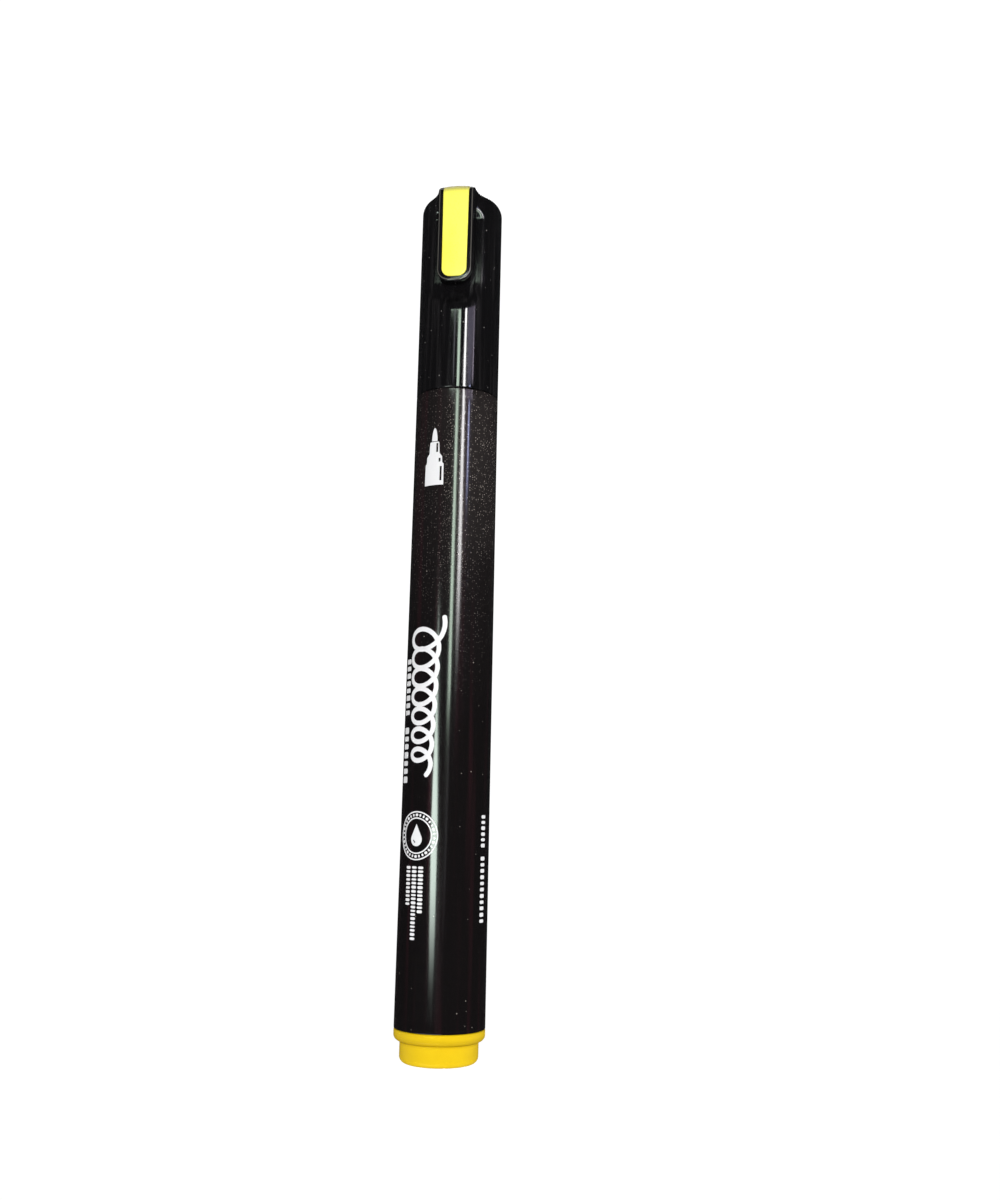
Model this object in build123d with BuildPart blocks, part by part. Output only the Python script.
from build123d import *
import os

os.makedirs("parts", exist_ok=True)

# A bullet-tip felt marker standing on its rear plug, cap on top and clip facing -Y.
# The origin is the centre of the plug's flat end face. +Z runs along the marker to the cap.
# All lengths are in millimetres.

# ---------------------------------------------------------------- driving dimensions
# Rear plug: a flange that covers the barrel's rim, a spigot that takes the posted cap, a skirt inside
post_d = 12.1
post_h = 3.3
post_edge_r = 1.0
flange_h = 1.75
flange_edge_r = 0.9
skirt_len = 7.0
skirt_wall = 1.1
plug_floor = 1.2

# Barrel: a tapered tube with a straight bore, as wide as the cap at its front end
barrel_len = 100.35
barrel_rear_d = 14.05
bore_d = 11.7
rim_edge_r = 0.15

# Front section: a collar let into the barrel's rim, a neck for the cap and a stepped nose for the nib
collar_d = 12.6
collar_h = 0.9
tail_len = 5.1
neck_d = 11.7
neck_h = 8.8
bead_h = 0.15
bead_w = 0.9
bead_up = 5.0
step_h = 0.8
mid_d = 9.2
mid_h = 3.0
flare_h = 1.8
front_base_d = 5.6
front_tip_d = 5.3
front_h = 6.5
section_wall = 1.1
web_h = 2.4
vent_w = 0.35
vent_count = 3

# Nib: a bonded fibre rod with a bullet point
nib_d = 3.0
nib_out = 5.0
nib_point_h = 3.6
nib_end_d = 0.7
nib_soak = 8.0
nib_tail_chamfer = 0.4

# Ink reservoir: a fibre core in a film wrap
wrap_t = 0.15
wrap_air = 0.25
core_gap = 0.4

# Cap
cap_d = 13.5
cap_len = 34.7
cap_corner_r = 2.2
crown_t = 3.25
seam_gap = 0.1
mouth_air = 0.05
mouth_h = 12.0
throat_h = 3.0
facet_depth = 1.8
facet_start = 14.1
facet_run = 4.5
facet_edge_r = 0.3

# Inner liner: the cup in the cap that closes round the nose
liner_wall = 0.85
lip_depth = 0.35
liner_roof = 0.8
lip_air = 0.05
lip_h = 0.8
lip_lead = 0.8
liner_up = 0.5

# Clip: an arm over the crown and down the flat, with a coloured strip let into its face
clip_w = 6.1
clip_end_w = 5.8
clip_t = 0.9
clip_crown = 0.3
clip_bend_r = 2.1
clip_proud = 0.25
clip_rise = 0.97
clip_drop = 17.47
clip_corner_r = 2.0
clip_back = 5.5
strip_w = 4.3
strip_end_w = 4.1
strip_t = 0.4
strip_sink = 0.0
strip_gap = 0.12
strip_rim = 0.8
strip_corner_r = 1.25
strip_back = 1.0
knuckle_r = 1.0
knuckle_in = 0.6
knuckle_down = 1.67
pin_r = 0.45
pin_len = 0.7
pivot_air = 0.05
groove_air = 0.06
grip_r = 0.7
grip_up = 2.2
grip_air = 0.15

# ---------------------------------------------------------------- derived sizes
post_r = post_d / 2
bore_r = bore_d / 2
cavity_r = bore_r - skirt_wall
barrel_z = post_h + flange_h
cap_r = cap_d / 2
barrel_top = barrel_z + barrel_len
skirt_top = barrel_z + skirt_len

neck_r = neck_d / 2
neck_top = barrel_top + neck_h
mid_r = mid_d / 2
mid_z = neck_top + step_h
mid_top = mid_z + mid_h
front_z = mid_top + flare_h
front_top = front_z + front_h
front_base_r = front_base_d / 2
front_tip_r = front_tip_d / 2
tail_z = barrel_top - collar_h - tail_len
web_z = neck_top - web_h

nib_r = nib_d / 2
nib_top = front_top + nib_out
core_top = tail_z - core_gap
nib_z = core_top - nib_soak
wrap_r = bore_r - wrap_air
core_r = wrap_r - wrap_t

cap_z = barrel_top + seam_gap
crown_z = cap_z + cap_len
roof_z = crown_z - crown_t
mouth_r = max(post_r, neck_r + bead_h) + mouth_air
mouth_top = cap_z + mouth_h
throat_top = mouth_top + throat_h
lip_r = front_base_r + lip_air
liner_bore_r = lip_r + lip_depth
liner_r = liner_bore_r + liner_wall
liner_z = throat_top + liner_up
facet_y = cap_r - facet_depth
facet_low = cap_z + facet_start
facet_z = facet_low + facet_run

face_y = cap_r + clip_proud
clip_top = crown_z + clip_rise
bend_z = clip_top - clip_bend_r
clip_low = clip_top - clip_drop
clip_rear = face_y - clip_back
strip_low = clip_low + strip_rim
strip_rear = clip_rear + strip_back
knuckle_y = clip_rear + knuckle_in
knuckle_z = clip_top - knuckle_down
reach = cap_d


def ring(turned, height, pick):
    """One circular edge of a turned piece at a height: pick 0 is the innermost, -1 the outermost."""
    rings = turned.edges().filter_by(GeomType.CIRCLE)
    return rings.filter_by_position(Axis.Z, height - 1e-3, height + 1e-3).sort_by(SortBy.RADIUS)[pick]


# ---------------------------------------------------------------- rear plug
with BuildPart() as end_plug:
    with BuildSketch(Plane.XZ):
        with BuildLine():
            Polyline(
                (0, 0),
                (post_r, 0),
                (post_r, post_h),
                (barrel_rear_d / 2, post_h),
                (barrel_rear_d / 2, barrel_z),
                (bore_r, barrel_z),
                (bore_r, skirt_top),
                (cavity_r, skirt_top),
                (cavity_r, plug_floor),
                (0, plug_floor),
                close=True,
            )
        make_face()
    revolve(axis=Axis.Z)
    fillet(ring(end_plug, 0, -1), radius=post_edge_r)
    flange_lip = min(barrel_rear_d / 2 - post_r, flange_h)
    fillet(ring(end_plug, post_h, -1), radius=min(flange_edge_r, 0.95 * flange_lip))
    chamfer(ring(end_plug, skirt_top, -1), length=skirt_wall / 3)
end_plug.part.label = "end_plug"
export_step(end_plug.part, "parts/end_plug.step")

# ---------------------------------------------------------------- barrel
with BuildPart() as barrel:
    with BuildSketch(Plane.XZ):
        with BuildLine():
            Polyline(
                (bore_r, barrel_z),
                (barrel_rear_d / 2, barrel_z),
                (cap_r, barrel_top),
                (collar_d / 2, barrel_top),
                (collar_d / 2, barrel_top - collar_h),
                (bore_r, barrel_top - collar_h),
                close=True,
            )
        make_face()
    revolve(axis=Axis.Z)
    fillet(ring(barrel, barrel_top, -1), radius=rim_edge_r)
barrel.part.label = "barrel"
export_step(barrel.part, "parts/barrel.step")

# ---------------------------------------------------------------- front section
with BuildPart() as nose_section:
    with BuildSketch(Plane.XZ):
        with BuildLine():
            Polyline(
                (cavity_r, tail_z),
                (bore_r, tail_z),
                (bore_r, barrel_top - collar_h),
                (collar_d / 2, barrel_top - collar_h),
                (collar_d / 2, barrel_top),
                (neck_r, barrel_top),
                (neck_r, neck_top),
                (mid_r, mid_z),
                (mid_r, mid_top),
                (front_base_r, front_z),
                (front_tip_r, front_top),
                (nib_r, front_top),
                (nib_r, web_z),
                (cavity_r, web_z),
                close=True,
            )
        make_face()
    revolve(axis=Axis.Z)
    # Snap bead that holds the cap on the neck
    with BuildSketch(Plane.XZ):
        with BuildLine():
            ThreePointArc(
                (neck_r, barrel_top + bead_up - bead_w / 2),
                (neck_r + bead_h, barrel_top + bead_up),
                (neck_r, barrel_top + bead_up + bead_w / 2),
            )
            Polyline(
                (neck_r, barrel_top + bead_up + bead_w / 2),
                (neck_r - bead_h, barrel_top + bead_up),
                (neck_r, barrel_top + bead_up - bead_w / 2),
            )
        make_face()
    revolve(axis=Axis.Z)
    # Air vents along the nib's bore
    with BuildSketch(Plane.XY.offset(web_z)):
        with PolarLocations(nib_r, vent_count):
            Circle(vent_w / 2)
    extrude(amount=front_top - web_z, mode=Mode.SUBTRACT)
    fillet(ring(nose_section, neck_top, -1), radius=step_h / 2)
    fillet(ring(nose_section, mid_top, -1), radius=step_h / 2)
    fillet(ring(nose_section, front_top, -1), radius=section_wall / 3)
nose_section.part.label = "nose_section"
export_step(nose_section.part, "parts/nose_section.step")

# ---------------------------------------------------------------- nib
with BuildPart() as nib:
    with BuildSketch(Plane.XZ):
        with BuildLine():
            Polyline(
                (0, nib_top),
                (0, nib_z),
                (nib_r - nib_tail_chamfer, nib_z),
                (nib_r, nib_z + nib_tail_chamfer),
                (nib_r, nib_top - nib_point_h),
            )
            Bezier(
                (nib_r, nib_top - nib_point_h),
                (nib_r, nib_top - nib_point_h / 3),
                (nib_end_d / 2, nib_top),
                (0, nib_top),
            )
        make_face()
    revolve(axis=Axis.Z)
nib.part.label = "nib"
export_step(nib.part, "parts/nib.step")

# ---------------------------------------------------------------- ink reservoir
with BuildPart() as fibre_reservoir:
    with BuildSketch(Plane.XY.offset(skirt_top)):
        Circle(core_r)
    extrude(amount=core_top - skirt_top)
    with BuildSketch(Plane.XY.offset(core_top)):
        Circle(nib_r)
    extrude(amount=-nib_soak, mode=Mode.SUBTRACT)
fibre_reservoir.part.label = "fibre_reservoir"
export_step(fibre_reservoir.part, "parts/fibre_reservoir.step")

with BuildPart() as reservoir_wrap:
    with BuildSketch(Plane.XY.offset(skirt_top)):
        Circle(wrap_r)
        Circle(core_r, mode=Mode.SUBTRACT)
    extrude(amount=core_top - skirt_top)
reservoir_wrap.part.label = "reservoir_wrap"
export_step(reservoir_wrap.part, "parts/reservoir_wrap.step")

# ---------------------------------------------------------------- cap shell
with BuildPart() as cap_shell:
    with BuildSketch(Plane.XZ):
        with BuildLine():
            Polyline(
                (0, crown_z),
                (0, roof_z),
                (liner_r, roof_z),
                (liner_r, throat_top),
                (mouth_r, mouth_top),
                (mouth_r, cap_z),
                (cap_r, cap_z),
                (cap_r, crown_z - cap_corner_r),
            )
            RadiusArc((cap_r, crown_z - cap_corner_r), (cap_r - cap_corner_r, crown_z), -cap_corner_r)
            Line((cap_r - cap_corner_r, crown_z), (0, crown_z))
        make_face()
    revolve(axis=Axis.Z)
    fillet(ring(cap_shell, cap_z, -1), radius=rim_edge_r)
    # Groove inside the mouth for the snap bead
    with BuildSketch(Plane.XY.offset(barrel_top + bead_up - bead_w / 2)):
        Circle(mouth_r + bead_h / 2)
    extrude(amount=bead_w, mode=Mode.SUBTRACT)
    # Flat under the clip: it runs out to the round below the clip's end
    with BuildSketch(Plane.YZ):
        with BuildLine():
            flat = Line((-facet_y, crown_z + facet_depth), (-facet_y, facet_z))
            run_out = TangentArc(flat @ 1, (-cap_r, facet_low), tangent=(0, -1))
            Polyline(
                run_out @ 1,
                (-cap_r - facet_depth, facet_low - facet_depth),
                (-cap_r - facet_depth, crown_z + facet_depth),
                flat @ 0,
            )
        make_face()
    extrude(amount=reach, both=True, mode=Mode.SUBTRACT)
    sides = cap_shell.edges().filter_by(lambda e: abs((e @ 0.5).Y + facet_y) < 1e-3)
    sides = sides.filter_by(lambda e: (e @ 0.5).Z < crown_z - cap_corner_r and abs((e @ 0.5).X) > 1e-3)
    lip = cap_shell.edges().filter_by_position(Axis.Y, -cap_r - 1e-3, -cap_r + 1e-3)
    lip = lip.filter_by_position(Axis.Z, facet_low - 1e-3, facet_low + 1e-3)
    fillet(sides + lip, radius=facet_edge_r)
    # The flat rolls over into the crown
    with BuildSketch(Plane.YZ):
        with BuildLine():
            roll = RadiusArc(
                (-facet_y + cap_corner_r, crown_z), (-facet_y, crown_z - cap_corner_r), -cap_corner_r
            )
            Polyline(
                roll @ 1,
                (-cap_r - facet_depth, crown_z - cap_corner_r),
                (-cap_r - facet_depth, crown_z + facet_depth),
                (-facet_y + cap_corner_r, crown_z + facet_depth),
                roll @ 0,
            )
        make_face()
    extrude(amount=reach, both=True, mode=Mode.SUBTRACT)
    # Groove across the crown for the clip's knuckle, and side sockets for its pins
    with BuildSketch(Plane.YZ):
        with Locations((-knuckle_y, knuckle_z)):
            Circle(knuckle_r + pivot_air)
    extrude(amount=clip_w / 2 + groove_air, both=True, mode=Mode.SUBTRACT)
    with BuildSketch(Plane.YZ):
        with Locations((-knuckle_y, knuckle_z)):
            Circle(pin_r + pivot_air)
    extrude(amount=clip_w / 2 + pin_len + groove_air, both=True, mode=Mode.SUBTRACT)
cap_shell.part.label = "cap_shell"
export_step(cap_shell.part, "parts/cap_shell.step")

# ---------------------------------------------------------------- inner liner
with BuildPart() as cap_inner_liner:
    with BuildSketch(Plane.XZ):
        with BuildLine():
            Polyline(
                (0, roof_z),
                (0, roof_z - liner_roof),
                (liner_bore_r, roof_z - liner_roof),
                (liner_bore_r, liner_z + lip_lead + lip_h),
                (lip_r, liner_z + lip_lead + lip_h),
                (lip_r, liner_z + lip_lead),
                (lip_r + lip_lead, liner_z),
                (liner_r, liner_z),
                (liner_r, roof_z),
                close=True,
            )
        make_face()
    revolve(axis=Axis.Z)
cap_inner_liner.part.label = "cap_inner_liner"
export_step(cap_inner_liner.part, "parts/cap_inner_liner.step")


# ---------------------------------------------------------------- clip and its strip
def arm(width, outer, inner, low, rear, low_width, corner):
    """A band over the crown and down the flat, from outer to inner mm below the crowned face."""
    with BuildPart() as band:
        with BuildLine() as path:
            down = Line((0, -face_y, clip_low - clip_corner_r), (0, -face_y, bend_z))
            bend = TangentArc(down @ 1, (0, -face_y + clip_bend_r, clip_top), tangent=(0, 0, 1))
            Line(bend @ 1, (0, 0, clip_top))
        with BuildSketch(Plane(down @ 0, x_dir=(1, 0, 0), z_dir=(0, 0, 1))):
            with BuildLine():
                face = ThreePointArc(
                    (-clip_w / 2, clip_crown + outer), (0, outer), (clip_w / 2, clip_crown + outer)
                )
                Polyline(face @ 1, (clip_w / 2, inner), (-clip_w / 2, inner), face @ 0)
            make_face()
        sweep(path=path.line)
        # Outline seen from the front: tapered, with rounded lower corners
        with BuildSketch(Plane.XZ):
            with BuildLine():
                Polyline(
                    (-width / 2, clip_top + clip_t),
                    (-width / 2, bend_z),
                    (-low_width / 2, low),
                    (low_width / 2, low),
                    (width / 2, bend_z),
                    (width / 2, clip_top + clip_t),
                    close=True,
                )
            make_face()
            fillet(vertices().group_by(Axis.Y)[0], radius=corner)
        extrude(amount=reach, both=True, mode=Mode.INTERSECT)
        # Cut off behind, on the crown
        with BuildSketch(Plane.XY.offset(clip_low - clip_corner_r)):
            with Locations((0, -rear)):
                Rectangle(reach, reach, align=(Align.CENTER, Align.MAX))
        extrude(amount=clip_drop + reach, mode=Mode.INTERSECT)
    return band.part


with BuildPart() as clip:
    add(arm(clip_w, 0, clip_t, clip_low, clip_rear, clip_end_w, clip_corner_r))
    # Knuckle and pins that the arm turns on
    with BuildSketch(Plane.YZ):
        with Locations((-knuckle_y, knuckle_z)):
            Circle(knuckle_r)
    extrude(amount=clip_w / 2, both=True)
    with BuildSketch(Plane.YZ):
        with Locations((-knuckle_y, knuckle_z)):
            Circle(pin_r)
    extrude(amount=clip_w / 2 + pin_len, both=True)
    # Grip rib behind the free end, just off the flat
    with BuildSketch(Plane.YZ):
        with Locations((-facet_y - grip_air - grip_r, clip_low + grip_up)):
            Circle(grip_r)
    extrude(amount=clip_end_w / 2 - grip_r, both=True)
    # Pocket for the strip
    add(
        arm(
            strip_w + 2 * strip_gap,
            -clip_t,
            strip_t + strip_sink,
            strip_low - strip_gap,
            strip_rear - strip_gap,
            strip_end_w + 2 * strip_gap,
            strip_corner_r + strip_gap,
        ),
        mode=Mode.SUBTRACT,
    )
clip.part.label = "clip"
export_step(clip.part, "parts/clip.step")

with BuildPart() as clip_insert:
    add(
        arm(
            strip_w,
            strip_sink,
            strip_t + strip_sink,
            strip_low,
            strip_rear,
            strip_end_w,
            strip_corner_r,
        )
    )
clip_insert.part.label = "clip_insert"
export_step(clip_insert.part, "parts/clip_insert.step")
